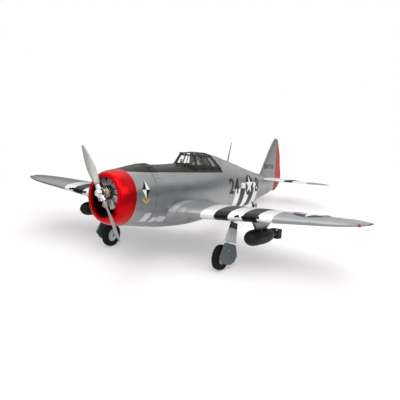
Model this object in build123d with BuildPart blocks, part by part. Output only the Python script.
"""Radio-controlled foam fighter: a radial-engined taildragger of 1.2 m span.

Everything is drawn in flight attitude: x to the aircraft's left, y aft from the tip of the
propeller hub, z up from the thrust line.  On export the whole aeroplane is tipped back on its
wheels and moved so that the origin lies on the ground under the middle of its bounding box.
"""

from build123d import *
from math import asin, atan2, cos, degrees, hypot, pi, radians, sin, sqrt, tan
import os

# ---------------------------------------------------------------- driving dimensions, mm
half_span = 600.0
foam_wall = 7.0
seam = 0.4                  # gap round a hatch or a control surface
running = 0.05              # radial clearance of a pin in its bore

body_front = 190.0
tail_post = 1003.0          # rudder hinge line
cavity_end = 800.0          # the body is hollow as far as this

cowl_front = 30.0
cowl_rear = body_front
cowl_wall = 3.0
cowl_flange = 3.0           # thickness of the rim that seats on the body
cowl_rim = 11.0             # depth of that rim

hatch_front = 216.0
hatch_rear = 548.0
hatch_sill = 58.0
hatch_wall = 5.0

wing_chord = 285.0
wing_lead = 232.0           # leading edge at the root
wing_sweep = 0.055
tip_y = 345.0               # the outermost point of the wing
tip_start = 500.0           # the leading edge turns back from here out
tip_round = 72.0
wing_low = -56.0            # height of the leading edge at the root
wing_root = 60.0
dihedral = 4.0
camber = 0.02
root_thick = 0.150
tip_thick = 0.105

gear_track = 217.0          # strut from the centre line
gear_y = 323.0
gear_z = -57.0
gear_rake = 13.0
leg_length = 111.0
wheel_radius = 36.0
wheel_width = 20.0
wheel_offset = 14.0         # wheel centre inboard of the strut
strut_radius = 3.6
piston_radius = 2.8
axle_radius = 2.0
oleo_travel = 8.0
leaf = 1.5                  # door thickness

tail_wheel_y = 865.0
tail_wheel_z = -73.0
tail_wheel_radius = 14.0
tail_wheel_width = 8.0

stab_z = 29.0
stab_half = 240.0
stab_hinge = 975.0

prop_radius = 140.0
prop_tilt = 33.0            # the blades stand this far off the vertical
shaft_radius = 2.5

bomb_x = 302.0
bomb_z = -94.0
bomb_radius = 22.0


# ---------------------------------------------------------------- shared sections
def oval(y, half_width, widest, top, bottom, crown=0.5523, keel=0.5523):
    """Cross-section of the body at y, from four quarter curves; crown and keel are fullness."""
    with BuildSketch(Plane.XZ.offset(-y)) as section:
        with BuildLine():
            for side in (1, -1):
                w = side * half_width
                up = top - widest
                down = widest - bottom
                Bezier((0, top), (w * crown, top), (w, widest + up * crown), (w, widest))
                Bezier((w, widest), (w, widest - down * keel), (w * keel, bottom), (0, bottom))
        make_face()
    return section.sketch


def airfoil_z(u, thick, side):
    """Height of the skin over the chord line at the fraction u, for a chord of one."""
    curve = 0.2969 * sqrt(u) - 0.1260 * u - 0.3516 * u**2 + 0.2843 * u**3 - 0.1015 * u**4
    if u < 0.4:
        mean = camber / 0.16 * (0.8 * u - u**2)
    else:
        mean = camber / 0.36 * (0.2 + 0.8 * u - u**2)
    return mean + side * 5 * thick * curve


def wing_station(x):
    """Leading edge y, leading edge z, chord and thickness ratio of the wing at x."""
    end = half_span + 1
    bend = max(x - tip_start, 0.0) / (end - tip_start)
    lead = wing_lead + wing_sweep * (x - wing_root) + tip_round * (1 - sqrt(1 - bend**2))
    low = wing_low + tan(radians(dihedral)) * (x - wing_root)
    trail = tip_y + (wing_lead + wing_chord - tip_y) * sqrt(1 - (x / end) ** 2)
    chord = trail - lead
    thick = root_thick + (tip_thick - root_thick) * x / half_span
    return lead, low, chord, thick


def skin(x, y, side):
    """Height of the upper (side=1) or lower (side=-1) wing skin at x, y."""
    lead, low, chord, thick = wing_station(x)
    return low + chord * airfoil_z((y - lead) / chord, thick, side)


def airfoil(x, grow=0.0, swell=1.0):
    """Wing section at x; grow lengthens the chord at both ends and swell thickens it."""
    lead, low, chord, thick = wing_station(x)
    lead -= grow
    chord += 2 * grow
    count = 9
    steps = [(1 - cos(pi * i / count)) / 2 for i in range(count + 1)]
    edge = 0.5
    upper = [(lead + chord * u, low + chord * airfoil_z(u, thick * swell, 1) + edge * u) for u in steps]
    lower = [(lead + chord * u, low + chord * airfoil_z(u, thick * swell, -1) - edge * u) for u in steps]
    with BuildSketch(Plane.YZ.offset(x)) as section:
        with BuildLine():
            Spline(*reversed(upper), *lower[1:])
            Line(lower[-1], upper[-1])
        make_face()
    return section.sketch


def hinge_plane(start, end):
    """Plane across a hinge line: local x runs aft, local y up, and the normal along the line."""
    along = (Vector(*end) - Vector(*start)).normalized()
    aft = Vector(0, 0, 1).cross(along).normalized()
    return Plane(origin=start, x_dir=aft, z_dir=along)


# ---------------------------------------------------------------- body
# y, half width, height of the widest point, top, keel, fullness of crown and keel
body_stations = [
    (body_front, 69, -8, 74, -98, 0.56, 0.58),
    (222, 70, -9, 74, -103, 0.56, 0.58),
    (260, 71, -10, 75, -106, 0.56, 0.58),
    (330, 72, -10, 79, -108, 0.55, 0.58),
    (400, 71, -9, 84, -107, 0.54, 0.58),
    (450, 69, -8, 90, -103, 0.51, 0.57),
    (500, 65, -6, 100, -98, 0.46, 0.57),
    (550, 60, -4, 105, -94, 0.41, 0.56),
    (600, 55, -1, 97, -90, 0.41, 0.56),
    (650, 50, 1, 88, -85, 0.43, 0.56),
    (700, 45, 4, 78, -79, 0.45, 0.55),
    (750, 39.5, 6, 68, -73, 0.48, 0.55),
    (800, 34, 7, 58.5, -66, 0.50, 0.55),
    (860, 27, 8, 49, -51, 0.52, 0.55),
    (920, 18, 8, 41.5, -37.5, 0.52, 0.55),
    (960, 12, 8, 37, -28, 0.52, 0.55),
    (tail_post - seam, 5, 8, 33, -17, 0.52, 0.55),
]


def body_section(station, inset):
    y, half_width, widest, top, bottom, crown, keel = station
    return oval(y, half_width - inset, widest, top - inset, bottom + inset, crown, keel)


with BuildPart() as body_form:
    loft([body_section(s, 0) for s in body_stations])

with BuildPart() as body_hollow:
    loft([body_section(s, foam_wall) for s in body_stations[:-1]])
    split(bisect_by=Plane.XZ.offset(-cavity_end), keep=Keep.TOP)


# ---------------------------------------------------------------- wing
root_stations = [(40, 10.0, 1.7), (62, 10.0, 1.55), (84, 3.5, 1.15), (110, 0.0, 1.0)]
outer_stations = [170, 250, 345, 430, 500, 530, 555, 573, 586, half_span - 2]

hinge_depth = 1.2           # the hinge lines lie this far under the skin
aileron_in = 345.0
aileron_out = 552.0
flap_in = 92.0
flap_out = 338.0
surface_tall = 45.0         # taller than any surface is thick
aileron_throw = 20.0
flap_throw = 40.0


def chord_point(x, share, side):
    """Point on the hinge line at x, under the upper or lower skin."""
    lead, low, chord, thick = wing_station(x)
    y = lead + share * chord
    return (x, y, skin(x, y, side) - side * hinge_depth)


aileron_start = chord_point(aileron_in, 0.780, 1)
aileron_end = chord_point(aileron_out, 0.740, 1)
flap_start = chord_point(flap_in, 0.775, -1)
flap_end = chord_point(flap_out, 0.780, -1)


def surface_space(start, end, above, below, margin=0.0):
    """Everything aft of a hinge line, cut back by an angle above and below the hinge."""
    length = (Vector(*end) - Vector(*start)).length
    frame = hinge_plane(start, end)
    with BuildPart() as space:
        with BuildSketch(frame.offset(-margin)):
            with BuildLine():
                Polyline(
                    (-margin, 0),
                    (surface_tall * tan(radians(above)) - margin, surface_tall),
                    (3 * surface_tall, surface_tall),
                    (3 * surface_tall, -surface_tall),
                    (surface_tall * tan(radians(below)) - margin, -surface_tall),
                    close=True,
                )
            make_face()
        extrude(amount=length + 2 * margin)
    return space.part


with BuildPart() as wing_form:
    loft([airfoil(*s) for s in root_stations] + [airfoil(x) for x in outer_stations], ruled=True)

with BuildPart() as aileron_left:
    add(wing_form.part)
    add(surface_space(aileron_start, aileron_end, aileron_throw + 3, aileron_throw + 6), mode=Mode.INTERSECT)

with BuildPart() as flap_left:
    add(wing_form.part)
    add(surface_space(flap_start, flap_end, 2, flap_throw + 4), mode=Mode.INTERSECT)

# main gear, worked out from its retraction: the leg swings inward until the wheel lies flat
rake_sin = sin(radians(gear_rake))
rake_cos = cos(radians(gear_rake))
gear_pivot = Vector(gear_track, gear_y, gear_z)
gear_axis = Vector(rake_sin, 1 + rake_cos, -rake_sin).normalized()
leg_down = Vector(0, -rake_sin, -rake_cos)
hub_centre = gear_pivot + leg_down * leg_length - Vector(wheel_offset, 0, 0)
stowed_hub = gear_pivot + Vector(-leg_length, 0, wheel_offset)
well_margin = 4.5
well_radius = wheel_radius + well_margin
well_top = stowed_hub.Z + wheel_width / 2 + 2.5

door_gap = 6.5              # door plane outboard of the strut
lower_door_out = door_gap + leaf + seam
recess_gap = 1.0            # room round a closed door
upper_door = [(-17, 9), (20, 9), (34, 65), (-34, 65)]
lower_door = [(-32, 69), (30, 69), (50, 97), (40, 117), (18, 127), (-20, 128), (-46, 112)]
lower_door_pressed = [(across, down - oleo_travel) for across, down in lower_door]


def leg_plane(out):
    """Plane at `out` outboard of the left strut; local x runs aft across the leg, y down it."""
    return Plane(origin=gear_pivot + Vector(out, 0, 0), x_dir=(0, rake_cos, -rake_sin), z_dir=(-1, 0, 0))


# ---------------------------------------------------------------- wing panels
spar_y = 374.0
spar_z = -44.0
spar_radius = 5.0
spar_half = 235.0
trunnion_radius = 2.5
block_size = (28.0, 26.0)   # retract unit along x and y
block_above = 20.0          # its top above the pivot
block_below = 5.0           # and its foot below
slot_half = strut_radius + 3.0
gun_radius = 3.0
gun_length = 44.0
gun_reach = 28.0            # muzzle ahead of the leading edge
gun_stations = [276.0, 295.0, 314.0, 333.0]
gun_rise = 5.0

# wheel well, leg slot, retract pocket and the shallow recesses that the doors close into
with BuildPart() as well_cutter:
    with BuildSketch(Plane.XY.offset(well_top)):
        with Locations((stowed_hub.X + oleo_travel / 2, stowed_hub.Y)):
            SlotOverall(2 * well_radius + oleo_travel, 2 * well_radius)
    extrude(amount=-60)
    leg_slot = gear_track + slot_half - stowed_hub.X
    with Locations((stowed_hub.X + leg_slot / 2, gear_y, gear_z + slot_half)):
        Box(leg_slot, 2 * slot_half, 40, align=(Align.CENTER, Align.CENTER, Align.MAX))
    with Locations((gear_track, gear_y, gear_z + block_above)):
        Box(*block_size, 60, align=(Align.CENTER, Align.CENTER, Align.MAX))
    door_places = ((upper_door, door_gap), (lower_door, lower_door_out), (lower_door_pressed, lower_door_out))
    for outline, out in door_places:
        with BuildSketch(Plane.XY.offset(gear_z - out + recess_gap)):
            with BuildLine():
                Polyline(*[(gear_track - down, gear_y + across) for across, down in outline], close=True)
            make_face()
            offset(amount=recess_gap)
        extrude(amount=-20)

with BuildPart() as spar_bore:
    with BuildSketch(Plane.YZ.offset(-spar_half - 1)):
        with Locations((spar_y, spar_z)):
            Circle(spar_radius)
    extrude(amount=2 * spar_half + 2)


def gun_line(x):
    """Muzzle point of the gun at x and the plane its barrel is drawn on."""
    lead, low, chord, thick = wing_station(x)
    return Plane(origin=(x, lead - gun_reach, low + gun_rise), x_dir=(1, 0, 0), z_dir=(0, 1, 0))


with BuildPart() as guns_left:
    for x in gun_stations:
        with BuildSketch(gun_line(x)):
            Circle(gun_radius)
        extrude(amount=gun_length)
    add(wing_form.part, mode=Mode.SUBTRACT)

with BuildPart() as wing_left:
    add(wing_form.part)
    add(surface_space(aileron_start, aileron_end, 0, 0, margin=seam), mode=Mode.SUBTRACT)
    add(surface_space(flap_start, flap_end, 0, 0, margin=seam), mode=Mode.SUBTRACT)
    add(body_form.part, mode=Mode.SUBTRACT)
    add(well_cutter.part, mode=Mode.SUBTRACT)
    add(spar_bore.part, mode=Mode.SUBTRACT)

with BuildPart() as spar_tube:
    with BuildSketch(Plane.YZ.offset(-spar_half)):
        with Locations((spar_y, spar_z)):
            Circle(spar_radius)
            Circle(spar_radius - 1, mode=Mode.SUBTRACT)
    extrude(amount=2 * spar_half)

# ---------------------------------------------------------------- body shells and hatch
with BuildPart() as hatch_space:
    hatch_length = hatch_rear - hatch_front
    with Locations((0, (hatch_front + hatch_rear) / 2, hatch_sill)):
        Box(200, hatch_length, 100, align=(Align.CENTER, Align.CENTER, Align.MIN))

with BuildPart() as hatch_hollow:
    loft([body_section(s, hatch_wall) for s in body_stations[:-1]])

tub_front = 352.0
tub_rear = 500.0
tub_half = 25.0
tub_floor = 40.0
tub_wall = 2.0
tub_top = 78.0

with BuildPart() as hatch:
    add(body_form.part)
    with Locations((0, (hatch_front + hatch_rear) / 2, hatch_sill + seam)):
        hatch_size = (200, hatch_length - 2 * seam, 100)
        Box(*hatch_size, align=(Align.CENTER, Align.CENTER, Align.MIN), mode=Mode.INTERSECT)
    add(hatch_hollow.part, mode=Mode.SUBTRACT)
    with Locations((0, (tub_front + tub_rear) / 2, 0)):
        Box(2 * tub_half, tub_rear - tub_front, 300, mode=Mode.SUBTRACT)

# ---------------------------------------------------------------- cowl
# y, half width, height of the widest point, top, bottom
cowl_lip = [
    (cowl_front, 51, -10, 45, -70),
    (cowl_front + 1.2, 54.2, -10, 48.1, -73.1),
    (cowl_front + 4, 57.5, -10, 51.2, -76.6),
    (cowl_front + 9, 60.7, -10, 54, -80),
    (cowl_front + 16, 63.6, -10, 56.4, -83),
]
cowl_stations = [
    (cowl_front + 24, 65.8, -10, 58.2, -85.3),
    (70, 67.9, -9.6, 60.2, -87.9),
    (86, 69.5, -9, 62.5, -90),
    (101, 70.4, -9, 65.2, -91.1),
    (116, 71, -9, 68, -92.2),
    (133, 71.3, -9, 71.3, -93.8),
    (150, 71.5, -9, 74, -95.5),
    (170, 72.2, -8.5, 75.8, -97.8),
    (cowl_rear, 73, -8, 77, -100),
]
mouth_wall = 5.0


def cowl_section(station, inset):
    y, half_width, widest, top, bottom = station
    return oval(y, half_width - inset, widest, top - inset, bottom + inset, 0.56, 0.57)


with BuildPart() as cowl_hollow:
    loft([cowl_section(s, cowl_wall) for s in cowl_lip[-2:] + cowl_stations], ruled=True)
    split(bisect_by=Plane.XZ.offset(cowl_flange - cowl_rear), keep=Keep.TOP)

with BuildPart() as cowl:
    loft([cowl_section(s, 0) for s in cowl_lip + cowl_stations], ruled=True)
    add(cowl_hollow.part, mode=Mode.SUBTRACT)
    with BuildSketch(Plane.XZ.offset(-cowl_front)):
        add(cowl_section(cowl_lip[0], mouth_wall))
    extrude(amount=-20, mode=Mode.SUBTRACT)
    with BuildSketch(Plane.XZ.offset(-cowl_rear)):
        add(cowl_section(cowl_stations[-1], cowl_rim))
    extrude(amount=2 * cowl_flange, mode=Mode.SUBTRACT)

# ---------------------------------------------------------------- power unit
hub_front = 10.0
hub_length = 17.0
hub_radius = 12.0
nut_radius = 9.0
nut_length = 6.0            # rounded nose of the nut
bell_front = 78.0
bell_length = 32.0
bell_radius = 21.0
bell_wall = 2.5
stator_gap = 0.8
mount_y = 114.0
mount_thick = 4.0
firewall_thick = 4.0
post_radius = 4.0
post_spread = 34.0
engine_y = 56.0
case_front = 33.0
row_step = 12.0
cylinder_count = 9
cylinder_inner = 15.0
cylinder_outer = 46.0
barrel_radius = 5.0
fin_radius = 7.6
fin_pitch = 4.5
fin_count = 3
engine_plate_y = 74.0
# radius, chord, thickness and pitch angle of the blade
blade_stations = [
    (9, 13, 11, 62),
    (24, 15, 8, 52),
    (45, 23, 4.8, 41),
    (75, 29, 3.6, 31),
    (105, 27, 2.8, 24),
    (127, 19, 2.2, 20),
    (prop_radius - 2, 8, 1.5, 18),
]


def blade_section(radius, chord, thick, pitch):
    """Six-sided aerofoil of the blade at a radius, turned to its pitch."""
    across = Location((0, 0, radius), (0, 0, pitch))
    with BuildSketch(Plane(across)) as section:
        with BuildLine():
            Polyline(
                (-chord / 2, 0),
                (-chord / 4, -thick / 2),
                (chord / 5, -thick / 3),
                (chord / 2, 0),
                (chord / 5, thick / 2),
                (-chord / 4, thick / 2),
                close=True,
            )
        make_face()
    return section.sketch


with BuildPart() as blade:
    loft([blade_section(*station) for station in blade_stations])

with BuildPart() as propeller:
    with Locations((0, hub_front + hub_length / 2, 0)):
        Cylinder(hub_radius, hub_length, rotation=(90, 0, 0))
    for turn in (0, 180):
        with Locations(Location((0, hub_front + hub_length / 2, 0), (0, turn - prop_tilt, 0))):
            add(blade.part)
    with Locations((0, hub_front + hub_length / 2, 0)):
        Cylinder(shaft_radius, 3 * hub_length, rotation=(90, 0, 0), mode=Mode.SUBTRACT)

with BuildPart() as prop_nut:
    with BuildSketch(Plane.XY):
        with BuildLine():
            Polyline((0, 0), (nut_radius * 0.6, 1), (nut_radius, nut_length), (nut_radius, hub_front))
            Line((nut_radius, hub_front), (shaft_radius, hub_front))
            Line((shaft_radius, hub_front), (shaft_radius, nut_length))
            Line((shaft_radius, nut_length), (0, nut_length))
            Line((0, nut_length), (0, 0))
        make_face()
    revolve(axis=Axis.Y)

with BuildPart() as motor_bell:
    with BuildSketch(Plane.XZ.offset(-bell_front)):
        Circle(bell_radius)
    extrude(amount=-bell_length)
    with BuildSketch(Plane.XZ.offset(-bell_front - 4)):
        Circle(bell_radius - bell_wall)
    extrude(amount=-bell_length, mode=Mode.SUBTRACT)
    with BuildSketch(Plane.XZ.offset(-bell_front)):
        with PolarLocations((bell_radius + shaft_radius) / 2, 4):
            Rectangle(8, 7)
    extrude(amount=-4, mode=Mode.SUBTRACT)
    with BuildSketch(Plane.XZ.offset(-nut_length)):
        Circle(shaft_radius)
    extrude(amount=-(mount_y - 2 - nut_length))

with BuildPart() as motor_stator:
    stator_front = bell_front + 4 + stator_gap
    with BuildSketch(Plane.XZ.offset(-stator_front)):
        Circle(bell_radius - bell_wall - stator_gap)
    extrude(amount=-(bell_front + bell_length - stator_front))
    with BuildSketch(Plane.XZ.offset(-bell_front - bell_length)):
        Circle(bell_radius - 6)
    extrude(amount=-(mount_y - bell_front - bell_length))
    with BuildSketch(Plane.XZ):
        Circle(shaft_radius + running)
    extrude(amount=-mount_y, mode=Mode.SUBTRACT)

with BuildPart() as motor_mount:
    with BuildSketch(Plane.XZ.offset(-mount_y)):
        Circle(bell_radius)
        for turn in (45, 135):
            Rectangle(2 * post_spread + 3 * post_radius, 3 * post_radius, rotation=turn)
    extrude(amount=-mount_thick)
    with BuildSketch(Plane.XZ.offset(-mount_y - mount_thick)):
        with PolarLocations(post_spread, 4, start_angle=45):
            RegularPolygon(post_radius, 6)
    extrude(amount=-(body_front - mount_y - mount_thick))

with BuildPart() as firewall:
    add(body_hollow.part)
    with Locations((0, body_front + firewall_thick / 2, 0)):
        Box(300, firewall_thick, 300, mode=Mode.INTERSECT)
    with BuildSketch(Plane.XZ.offset(-body_front)):
        with Locations((0, -62)):
            Rectangle(44, 24)
    extrude(amount=-firewall_thick, mode=Mode.SUBTRACT)

with BuildPart() as dummy_crankcase:
    loft([cowl_section(s, cowl_wall) for s in cowl_stations], ruled=True)
    with Locations((0, engine_plate_y, -cylinder_outer - 2)):
        plate_align = (Align.CENTER, Align.MIN, Align.MIN)
        Box(300, 2, 300, align=plate_align, mode=Mode.INTERSECT)
    with BuildSketch(Plane.XZ.offset(-engine_plate_y)):
        Circle(4)
    extrude(amount=-2, mode=Mode.SUBTRACT)
    with BuildSketch(Plane.XY):
        with BuildLine():
            Polyline((4, case_front), (8, case_front), (13, case_front + 9), (cylinder_inner + 2, engine_y - 4))
            Polyline((cylinder_inner + 2, engine_y - 4), (cylinder_inner + 2, engine_plate_y))
            Polyline((cylinder_inner + 2, engine_plate_y), (4, engine_plate_y), (4, case_front))
        make_face()
    revolve(axis=Axis.Y)

with BuildPart() as rear_cylinder:
    with BuildSketch(Plane.XY.offset(cylinder_inner + 1.5)):
        RegularPolygon(barrel_radius, 8)
    extrude(amount=cylinder_outer - cylinder_inner - 1.5)

with BuildPart() as front_cylinder:
    add(rear_cylinder.part)
    for level in range(fin_count):
        with BuildSketch(Plane.XY.offset(cylinder_outer - 2 - level * fin_pitch)):
            RegularPolygon(fin_radius - 0.6 * level, 8)
        extrude(amount=-fin_pitch / 2.5)

with BuildPart() as engine_cylinders:
    for row, one in enumerate((front_cylinder, rear_cylinder)):
        for index in range(cylinder_count):
            turn = 360 / cylinder_count * (index + row / 2)
            with Locations(Location((0, engine_y + row * row_step, 0), (0, turn, 0))):
                add(one.part)
    with BuildSketch(Plane.XZ.offset(-engine_y + 8)):
        Circle(cylinder_inner + 2)
    extrude(amount=-(engine_plate_y - engine_y + 8), mode=Mode.SUBTRACT)

# ---------------------------------------------------------------- inside the body
tray_z = -19.0
tray_half = 28.0
tray_thick = 3.0
tray_front = body_front + firewall_thick
tray_rear = 440.0
former_places = (236.0, 404.0)
former_thick = 3.0
battery_size = (42.0, 122.0, 26.0)
battery_front = 246.0

with BuildPart() as plywood_frame:
    for y in former_places:
        with Locations((0, y, -100)):
            former_align = (Align.CENTER, Align.MIN, Align.MIN)
            Box(300, former_thick, 100 + tub_floor - 5, align=former_align)
    add(body_hollow.part, mode=Mode.INTERSECT)
    with Locations((0, tray_front, tray_z)):
        tray_align = (Align.CENTER, Align.MIN, Align.MIN)
        Box(2 * tray_half, tray_rear - tray_front, 200, align=tray_align, mode=Mode.SUBTRACT)
    with Locations((0, tray_front, tray_z)):
        Box(2 * tray_half, tray_rear - tray_front, tray_thick, align=tray_align)
    for y in (battery_front + 30, battery_front + 85):
        with Locations((-battery_size[0] / 2 - 3, y, tray_z), (battery_size[0] / 2 + 3, y, tray_z)):
            Box(3, 16, 3 * tray_thick, mode=Mode.SUBTRACT)

with BuildPart() as battery:
    with Locations((0, battery_front, tray_z + tray_thick)):
        Box(*battery_size, align=tray_align)
    fillet(battery.edges().filter_by(Axis.Y), 3)

with BuildPart() as speed_controller:
    with Locations((0, body_front - 46, -58)):
        Box(34, 46, 12, align=tray_align)
    fillet(speed_controller.edges().filter_by(Axis.Z), 1.5)

with BuildPart() as receiver:
    with Locations((0, 384, tray_z + tray_thick)):
        Box(22, 40, 13, align=tray_align)
    fillet(receiver.edges().filter_by(Axis.Z), 2)

# ---------------------------------------------------------------- cockpit
# y, half width at the foot, top
canopy_foot = 50.0
canopy_stations = [
    (291, 31, 80.5),
    (308, 37, 95),
    (327, 41, 107),
    (364, 43, 112.5),
    (400, 43, 114),
    (460, 43, 114),
    (510, 42, 112),
    (hatch_rear - seam, 40, 106),
]
frame_wall = 1.2
glass_wall = 1.0
seat_gap = 0.1              # between two curved faces that seat on each other
# window outlines seen from the side: y, z
side_windows = [
    [(313, 80), (366, 77), (366, 104), (333, 102)],
    [(384, 76), (431, 75), (431, 104), (384, 104)],
    [(459, 74), (505, 72), (478, 101), (455, 103)],
]
roof_panes = [(388, 428), (442, 476)]
roof_half = 11.0


def canopy_section(station, inset):
    y, half_width, top = station
    w = half_width - inset
    high = top - inset
    rise = high - canopy_foot
    with BuildSketch(Plane.XZ.offset(-y)) as section:
        with BuildLine():
            for side in (w, -w):
                Bezier(
                    (0, high),
                    (0.70 * side, high),
                    (0.80 * side, canopy_foot + 0.60 * rise),
                    (side, canopy_foot),
                )
            Line((w, canopy_foot), (-w, canopy_foot))
        make_face()
    return section.sketch


def canopy_shell(outer, inner):
    """Canopy layer between two insets, standing on the deck of the body."""
    with BuildPart() as layer:
        loft([canopy_section(s, outer) for s in canopy_stations])
        loft([canopy_section(s, inner) for s in canopy_stations], mode=Mode.SUBTRACT)
        add(body_form.part, mode=Mode.SUBTRACT)
    return max(layer.solids(), key=lambda solid: solid.volume)


with BuildPart() as canopy_glass:
    add(canopy_shell(frame_wall + seat_gap, frame_wall + seat_gap + glass_wall))

with BuildPart() as canopy_frame:
    add(canopy_shell(0, frame_wall))
    for outline in side_windows:
        with BuildSketch(Plane.YZ.offset(-60)):
            with BuildLine():
                Polyline(*outline, close=True)
            make_face()
        extrude(amount=120, mode=Mode.SUBTRACT)
    for start, end in roof_panes:
        with Locations((0, (start + end) / 2, 130)):
            Box(2 * roof_half, end - start, 50, mode=Mode.SUBTRACT)
    with BuildSketch(Plane(origin=(0, 294, 83), x_dir=(1, 0, 0), z_dir=(0, -26, 32))):
        with Locations((0, 20)):
            Trapezoid(30, 28, 78)
    extrude(amount=30, both=True, mode=Mode.SUBTRACT)

with BuildPart() as cockpit_tub:
    tub_align = (Align.CENTER, Align.MIN, Align.MIN)
    with Locations((0, tub_front, tub_floor)):
        Box(2 * tub_half, tub_rear - tub_front, tub_top - tub_floor, align=tub_align)
    with Locations((0, tub_front + tub_wall, tub_floor + tub_wall)):
        inner = (2 * (tub_half - tub_wall), tub_rear - tub_front - 2 * tub_wall, 100)
        Box(*inner, align=tub_align, mode=Mode.SUBTRACT)
    panel_y = tub_front + tub_wall
    with Locations((0, panel_y, tub_floor + tub_wall)):
        Box(2 * (tub_half - tub_wall), 3, 36, align=tub_align)
    with Locations((0, panel_y, tub_floor + tub_wall + 36)):
        Box(30, 14, 3, align=tub_align)
    with Locations((0, panel_y + 6, tub_floor + tub_wall + 39)):
        Box(5, 3, 12, align=tub_align)

seat_y = 434.0
with BuildPart() as seat:
    floor_z = tub_floor + tub_wall
    with Locations((0, seat_y - 24, floor_z)):
        Box(32, 34, 8, align=tub_align)
    with Locations((0, seat_y + 10, floor_z)):
        Box(32, 4, 44, align=tub_align)
    with Locations((0, seat_y + 11, floor_z + 44)):
        Box(20, 3, 16, align=tub_align)
    fillet(seat.edges().filter_by(Axis.Y).group_by(Axis.Z)[-1], 5)

# height above the seat, half width and half depth of the pilot, seat to crown
pilot_rings = [
    (0, 13, 8),
    (18, 18, 9),
    (27, 19, 8),
    (34, 9, 6),
    (38, 5, 5),
    (44, 8, 9),
    (51, 9, 10),
    (57, 7, 7.5),
]


def pilot_ring(height, wide, deep):
    with BuildSketch(Plane((0, seat_y - 10.5, floor_z + 8 + height))) as ring:
        Rectangle(2 * wide, 2 * deep)
        chamfer(ring.vertices(), deep * 0.55)
    return ring.sketch


with BuildPart() as pilot:
    loft([pilot_ring(*ring) for ring in pilot_rings], ruled=True)

# ---------------------------------------------------------------- main gear, left leg
trunnion_wide = 12.0        # trunnion between the cheeks of its housing
cheek = 3.5                 # the pin reaches this far into each side of the housing
trunnion_room = 6.5         # headroom over the trunnion
leg_tube = 62.0             # the outer tube ends this far below the pivot
piston_top = 36.0
hub_radius_main = 18.5
tyre_bore = 19.5
collar = 3.0


def leg_point(down, out=0.0):
    return gear_pivot + leg_down * down + Vector(out, 0, 0)


leg_down_plane = Plane(origin=gear_pivot, x_dir=(1, 0, 0), z_dir=leg_down)
trunnion_plane = Plane(origin=gear_pivot, x_dir=leg_down, z_dir=gear_axis)

with BuildPart() as retract_left:
    with Locations((gear_track, gear_y, gear_z + block_above)):
        tall = block_above + block_below
        Box(*block_size, tall, align=(Align.CENTER, Align.CENTER, Align.MAX))
    with BuildSketch(trunnion_plane):
        with Locations((trunnion_room, 0)):
            Rectangle(4 * trunnion_room, 80)
    extrude(amount=trunnion_wide / 2 + seam, both=True, mode=Mode.SUBTRACT)
    with BuildSketch(trunnion_plane):
        Circle(trunnion_radius)
    extrude(amount=trunnion_wide / 2 + cheek, both=True)

with BuildPart() as leg_left:
    with BuildSketch(trunnion_plane):
        Circle(5.5)
    extrude(amount=trunnion_wide / 2, both=True)
    with BuildSketch(leg_down_plane):
        Circle(strut_radius)
    extrude(amount=leg_tube)
    with BuildSketch(trunnion_plane):
        Circle(trunnion_radius + running)
    extrude(amount=trunnion_wide, both=True, mode=Mode.SUBTRACT)
    for down in (16, 52):
        with Locations(Plane(origin=leg_point(down, strut_radius - 1), x_dir=(1, 0, 0), z_dir=leg_down)):
            Box(door_gap - strut_radius + 1, 8, 6, align=(Align.MIN, Align.CENTER, Align.CENTER))
    with BuildSketch(leg_down_plane.offset(piston_top - oleo_travel - 2)):
        Circle(piston_radius + running)
    extrude(amount=leg_tube, mode=Mode.SUBTRACT)

with BuildPart() as upper_door_left:
    with BuildSketch(leg_plane(door_gap)):
        with BuildLine():
            Polyline(*upper_door, close=True)
        make_face()
        fillet(vertices(), 3)
    extrude(amount=-leaf)

hub_disc = wheel_width / 2 - 4      # inboard face of the hub from the wheel's middle
hub_reach = wheel_offset + hub_disc + seam
with BuildPart() as piston_left:
    with BuildSketch(leg_down_plane.offset(piston_top)):
        Circle(piston_radius)
    extrude(amount=leg_length - piston_top + 4)
    with BuildSketch(leg_down_plane.offset(leg_length - 6)):
        Circle(strut_radius)
    extrude(amount=12)
    with BuildSketch(Plane(origin=leg_point(leg_length, -3), x_dir=(0, 1, 0), z_dir=(-1, 0, 0))):
        Circle(axle_radius)
    extrude(amount=hub_reach - 3 + collar)
    with BuildSketch(Plane(origin=leg_point(leg_length, -hub_reach), x_dir=(0, 1, 0), z_dir=(-1, 0, 0))):
        Circle(axle_radius + 2)
    extrude(amount=collar)
    with Locations(Plane(origin=leg_point(leg_length, strut_radius - 1), x_dir=(1, 0, 0), z_dir=leg_down)):
        Box(lower_door_out - strut_radius + 1, 8, 8, align=(Align.MIN, Align.CENTER, Align.CENTER))

with BuildPart() as lower_door_left:
    with BuildSketch(leg_plane(lower_door_out)):
        with BuildLine():
            Polyline(*lower_door, close=True)
        make_face()
        fillet(vertices(), 4)
    extrude(amount=-leaf)

with BuildPart() as wheel_hub_left:
    half = wheel_width / 2
    with BuildSketch(Plane(origin=hub_centre, x_dir=(1, 0, 0), z_dir=(0, -1, 0))):
        with BuildLine():
            Polyline(
                (-hub_disc, axle_radius + running),
                (half, axle_radius + running),
                (half, 6),
                (half - 7, 8),
                (half - 7, 14),
                (hub_disc, hub_radius_main),
                (hub_disc, tyre_bore),
                (-hub_disc, tyre_bore),
                close=True,
            )
        make_face()
    revolve(axis=Axis(hub_centre, (1, 0, 0)))


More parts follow.
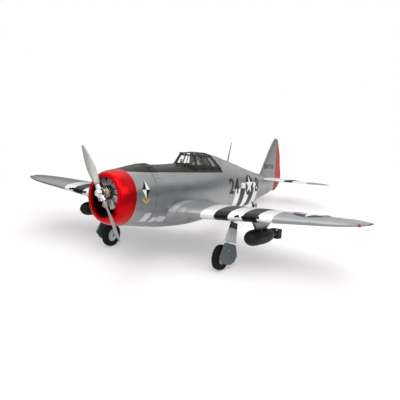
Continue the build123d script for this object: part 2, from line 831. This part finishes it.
def tyre(centre, radius, width, bore):
    """Balloon tyre round an axle along x."""
    half = width / 2
    wall = radius - bore
    with BuildPart() as ring:
        with BuildSketch(Plane(origin=centre, x_dir=(1, 0, 0), z_dir=(0, -1, 0))):
            with BuildLine():
                Polyline(
                    (half - 3, bore),
                    (half, bore + 0.4 * wall),
                    (half - 1, bore + 0.7 * wall),
                    (0.6 * half, bore + 0.94 * wall),
                    (0, radius),
                    (-0.6 * half, bore + 0.94 * wall),
                    (1 - half, bore + 0.7 * wall),
                    (-half, bore + 0.4 * wall),
                    (3 - half, bore),
                    close=True,
                )
            make_face()
        revolve(axis=Axis(centre, (1, 0, 0)))
    return ring.part


with BuildPart() as tyre_left:
    add(tyre(hub_centre, wheel_radius, wheel_width, tyre_bore))

# ---------------------------------------------------------------- tail wheel
steer_y = 850.0
steer_top = -20.0
bush_bottom = -57.0
bush_radius = 4.5
post_wire = 2.0
fork_x = tail_wheel_width / 2 + 1.2
fork_wire = 2.4
tail_hub = Vector(0, tail_wheel_y, tail_wheel_z)

with BuildPart() as tail_bush_space:
    with BuildSketch(Plane.XY.offset(bush_bottom - 20)):
        with Locations((0, steer_y)):
            Circle(bush_radius)
    extrude(amount=steer_top + 3 - bush_bottom + 20)

with BuildPart() as tail_strut:
    with BuildSketch(Plane.XY.offset(bush_bottom - 6)):
        with Locations((0, steer_y)):
            Circle(post_wire)
    extrude(amount=steer_top + 1 - bush_bottom + 6)
    with Locations((0, steer_y, bush_bottom - 3)):
        Box(2 * fork_x, 5, 4)
    for side in (1, -1):
        fork_root = Vector(side * fork_x, steer_y, bush_bottom - 2)
        fork_foot = Vector(side * fork_x, tail_wheel_y, tail_wheel_z)
        fork_run = fork_foot - fork_root
        with BuildSketch(Plane(origin=fork_root, x_dir=(1, 0, 0), z_dir=fork_run)):
            Rectangle(fork_wire / 1.5, 5)
        extrude(amount=fork_run.length + 2)
    with BuildSketch(Plane.YZ.offset(-fork_x)):
        with Locations((tail_wheel_y, tail_wheel_z)):
            Circle(1.0)
    extrude(amount=2 * fork_x)

with BuildPart() as tail_wheel:
    add(tyre(tail_hub, tail_wheel_radius, tail_wheel_width, 1.0 + running))

with BuildPart() as tail_mount:
    with BuildSketch(Plane.XY.offset(bush_bottom)):
        with Locations((0, steer_y)):
            Circle(bush_radius)
    extrude(amount=steer_top - bush_bottom)
    for side in (1, -1):
        with BuildSketch(Plane.YZ.offset(side * 11 - 0.6)):
            with BuildLine():
                Polyline((822, -40), (856, -40), (854, -64), (838, -66), close=True)
            make_face()
        extrude(amount=1.2)
    add(body_form.part, mode=Mode.SUBTRACT)
    with BuildSketch(Plane.XY.offset(bush_bottom)):
        with Locations((0, steer_y)):
            Circle(bush_radius)
    extrude(amount=steer_top - bush_bottom)
    with BuildSketch(Plane.XY.offset(bush_bottom)):
        with Locations((0, steer_y)):
            Circle(post_wire + running)
    extrude(amount=steer_top - bush_bottom, mode=Mode.SUBTRACT)

# ---------------------------------------------------------------- tail surfaces
# height, leading edge, half thickness of the vertical tail
fin_stations = [(26, 862, 6.2), (60, 889, 6.0), (100, 915.5, 5.2), (140, 943, 4.2), (170, 966, 3.2), (186, 984, 2.2)]
# height, trailing edge, half thickness of the rudder
rudder_stations = [
    (-18, 1016, 2.6),
    (-8, 1038, 4.0),
    (6, 1054, 5.0),
    (28, 1066, 5.6),
    (60, 1060, 5.6),
    (100, 1047, 4.9),
    (140, 1033, 4.0),
    (168, 1019, 3.0),
    (184, 1007.5, 2.0),
]
rudder_bevel = 30.0
elevator_bevel = 26.0
# distance out, leading edge, trailing edge, half thickness of the horizontal tail
stab_stations = [
    (2, 880, 1034, 5.2),
    (70, 893, 1036, 5.0),
    (130, 908, 1033, 4.5),
    (185, 926, 1023, 3.6),
    (220, 945, 1008, 2.6),
    (stab_half - 1, 967, 989, 1.6),
]
edge_thick = 0.6


def tail_fore(plane, lead, hinge, half):
    """Fixed half of a tail section: rounded leading edge, square to its hinge line."""
    chord = hinge - seam - lead
    steps = (1.0, 0.55, 0.25, 0.08, 0.015)
    rise = (1.0, 0.98, 0.8, 0.5, 0.22)
    upper = [(lead + chord * s, half * r) for s, r in zip(steps, rise)]
    lower = [(y, -z) for y, z in reversed(upper)]
    with BuildSketch(plane) as section:
        with BuildLine():
            Polyline(*upper, (lead, 0), *lower, close=True)
        make_face()
    return section.sketch


def tail_aft(plane, hinge, trail, half, bevel):
    """Moving half of a tail section: bevelled to the hinge line, thin at the trailing edge."""
    shoulder = hinge + half * tan(radians(bevel))
    trail = max(trail, shoulder + 1)
    with BuildSketch(plane) as section:
        with BuildLine():
            Polyline(
                (hinge, 0),
                (shoulder, half),
                (trail, edge_thick),
                (trail, -edge_thick),
                (shoulder, -half),
                close=True,
            )
        make_face()
    return section.sketch


def level(z):
    """Plane at height z whose local x runs aft and local y to the right."""
    return Plane(origin=(0, 0, z), x_dir=(0, 1, 0), z_dir=(0, 0, 1))


def upright(x):
    return Plane(origin=(x, 0, stab_z), x_dir=(0, 1, 0), z_dir=(1, 0, 0))


with BuildPart() as joiner_bore:
    with BuildSketch(Plane.YZ.offset(-60)):
        with Locations((stab_hinge, stab_z)):
            Circle(1.2 + running)
    extrude(amount=120)

with BuildPart() as rudder:
    loft([tail_aft(level(z), tail_post, trail, half, rudder_bevel) for z, trail, half in rudder_stations])

stab_sections = [tail_fore(upright(x), lead, stab_hinge, half) for x, lead, trail, half in stab_stations]
with BuildPart() as stabiliser:
    loft(stab_sections)
    extrude(stab_sections[0].face(), amount=-stab_stations[0][0])
    mirror(about=Plane.YZ)
    add(joiner_bore.part, mode=Mode.SUBTRACT)

with BuildPart() as fin:
    loft([tail_fore(level(z), lead, tail_post, half) for z, lead, half in fin_stations])
    add(body_form.part, mode=Mode.SUBTRACT)
    add(stabiliser.part, mode=Mode.SUBTRACT)
    add(joiner_bore.part, mode=Mode.SUBTRACT)

with BuildPart() as elevator_joiner:
    with BuildSketch(Plane.YZ.offset(-40)):
        with Locations((stab_hinge, stab_z)):
            Circle(1.2)
    extrude(amount=80)

with BuildPart() as elevator_left:
    loft(
        [
            tail_aft(upright(x), stab_hinge, trail, half, elevator_bevel)
            for x, lead, trail, half in stab_stations
        ]
    )
    with BuildSketch(Plane.XY.offset(stab_z)) as rudder_room:
        with BuildLine():
            Polyline((-2, 960), (15, 960), (15, 990), (40, 1045), (-2, 1045), close=True)
        make_face()
    extrude(amount=30, both=True, mode=Mode.SUBTRACT)
    add(elevator_joiner.part, mode=Mode.SUBTRACT)

# ---------------------------------------------------------------- stores, lamps and aerial
bomb_nose = 254.0
bomb_end = 402.0
bomb_tail = 456.0
# distance aft of the nose and radius
bomb_outline = [(0, 0), (4, 11), (26, bomb_radius), (98, bomb_radius), (148, 9)]
fin_box = 27.0
with BuildPart() as bomb_left:
    with BuildSketch(Plane(origin=(bomb_x, bomb_nose, bomb_z), x_dir=(0, 1, 0), z_dir=(0, 0, 1))):
        with BuildLine():
            Polyline(*bomb_outline, (bomb_tail - bomb_nose, 4), (bomb_tail - bomb_nose, 0), close=True)
        make_face()
    revolve(axis=Axis((bomb_x, bomb_nose, bomb_z), (0, 1, 0)))
    with BuildSketch(Plane.XZ.offset(-bomb_end - 24)):
        with Locations((bomb_x, bomb_z)):
            Rectangle(fin_box, fin_box, rotation=45)
            Rectangle(fin_box - 2, fin_box - 2, rotation=45, mode=Mode.SUBTRACT)
    extrude(amount=-(bomb_tail - bomb_end - 24))
    with BuildSketch(Plane.XZ.offset(-bomb_end + 8)):
        with Locations((bomb_x, bomb_z)):
            for turn in (0, 90):
                Rectangle(fin_box * 1.38, 1.2, rotation=turn)
    extrude(amount=-(bomb_tail - bomb_end + 8))

pylon_top = -50.0
with BuildPart() as pylon_left:
    with BuildSketch(Plane.XY.offset(pylon_top)):
        with Locations((bomb_x, 340)):
            SlotOverall(118, 12, rotation=90)
    with BuildSketch(Plane.XY.offset(bomb_z + bomb_radius - 1)):
        with Locations((bomb_x, 333)):
            SlotOverall(62, 8, rotation=90)
    loft(ruled=True)
    add(wing_form.part, mode=Mode.SUBTRACT)
    add(bomb_left.part, mode=Mode.SUBTRACT)

with BuildPart() as nav_lamp_left:
    lamp_x = half_span - 18
    lamp_lead, lamp_low, lamp_chord, lamp_thick = wing_station(lamp_x)
    with BuildSketch(Plane.XY.offset(lamp_low - 4)):
        with Locations((lamp_x, lamp_lead + 2)):
            RegularPolygon(5, 8)
    extrude(amount=8)
    chamfer(nav_lamp_left.edges().group_by(Axis.Z)[0] + nav_lamp_left.edges().group_by(Axis.Z)[-1], 2)
    add(wing_form.part, mode=Mode.SUBTRACT)

aerial_foot = Vector(0, 637, 88)
aerial_top = Vector(0, 652, 156)
with BuildPart() as aerial:
    with BuildSketch(Plane(origin=aerial_foot, x_dir=(1, 0, 0), z_dir=aerial_top - aerial_foot)):
        RegularPolygon(1.4, 6)
    extrude(amount=(aerial_top - aerial_foot).length, taper=0.7)
    add(body_form.part, mode=Mode.SUBTRACT)

# ---------------------------------------------------------------- body halves
with BuildPart() as body_shell:
    add(body_form.part)
    add(body_hollow.part, mode=Mode.SUBTRACT)
    for cut in (hatch_space, spar_bore, tail_bush_space, stabiliser, joiner_bore):
        add(cut.part, mode=Mode.SUBTRACT)

with BuildPart() as fuselage_left:
    add(body_shell.part)
    split(bisect_by=Plane.YZ, keep=Keep.TOP)

with BuildPart() as fuselage_right:
    add(body_shell.part)
    split(bisect_by=Plane.YZ, keep=Keep.BOTTOM)


# ---------------------------------------------------------------- right-hand pieces
def twin(piece):
    """The same piece on the right side of the aeroplane."""
    with BuildPart() as other:
        mirror(piece.part, about=Plane.YZ)
    return other


def both_sides(piece):
    """One node holding a piece and its twin."""
    with BuildPart() as pair:
        add(piece.part)
        mirror(piece.part, about=Plane.YZ)
    return pair


# ---------------------------------------------------------------- standing on its wheels
wheel_run = tail_wheel_y - hub_centre.Y
wheel_rise = tail_wheel_z - hub_centre.Z
wheel_gap = hypot(wheel_run, wheel_rise)
pitch = degrees(asin((wheel_radius - tail_wheel_radius) / wheel_gap) + atan2(wheel_rise, wheel_run))
tip = Location((0, 0, 0), (-pitch, 0, 0))
ground = (tip * Location(hub_centre)).position.Z - wheel_radius
rudder_heel = (0, 1066.6, 28)         # rearmost point of the rudder
rear_end = (tip * Location(rudder_heel)).position.Y
stand = Location((0, -rear_end / 2, -ground)) * tip

pieces = {
    "fuselage_left": fuselage_left,
    "fuselage_right": fuselage_right,
    "cowl": cowl,
    "dummy_crankcase": dummy_crankcase,
    "engine_cylinders": engine_cylinders,
    "motor_mount": motor_mount,
    "motor_stator": motor_stator,
    "motor_bell": motor_bell,
    "propeller": propeller,
    "prop_nut": prop_nut,
    "firewall": firewall,
    "speed_controller": speed_controller,
    "plywood_frame": plywood_frame,
    "battery": battery,
    "receiver": receiver,
    "hatch": hatch,
    "canopy_frame": canopy_frame,
    "canopy_glass": canopy_glass,
    "cockpit_tub": cockpit_tub,
    "seat": seat,
    "pilot": pilot,
    "spar_tube": spar_tube,
    "gun_barrels": both_sides(guns_left),
    "nav_lamps": both_sides(nav_lamp_left),
    "pylons": both_sides(pylon_left),
    "bombs": both_sides(bomb_left),
    "retract_units": both_sides(retract_left),
    "fin": fin,
    "rudder": rudder,
    "stabiliser": stabiliser,
    "elevator_joiner": elevator_joiner,
    "tail_mount": tail_mount,
    "tail_strut": tail_strut,
    "tail_wheel": tail_wheel,
    "aerial": aerial,
}
left_pieces = {
    "wing": wing_left,
    "aileron": aileron_left,
    "flap": flap_left,
    "elevator": elevator_left,
    "leg": leg_left,
    "upper_door": upper_door_left,
    "piston": piston_left,
    "lower_door": lower_door_left,
    "wheel_hub": wheel_hub_left,
    "tyre": tyre_left,
}
for name, piece in left_pieces.items():
    pieces[name + "_left"] = piece
    pieces[name + "_right"] = twin(piece)

os.makedirs("parts", exist_ok=True)
for label, piece in pieces.items():
    placed = piece.part.moved(stand)
    placed.label = label
    export_step(placed, f"parts/{label}.step")
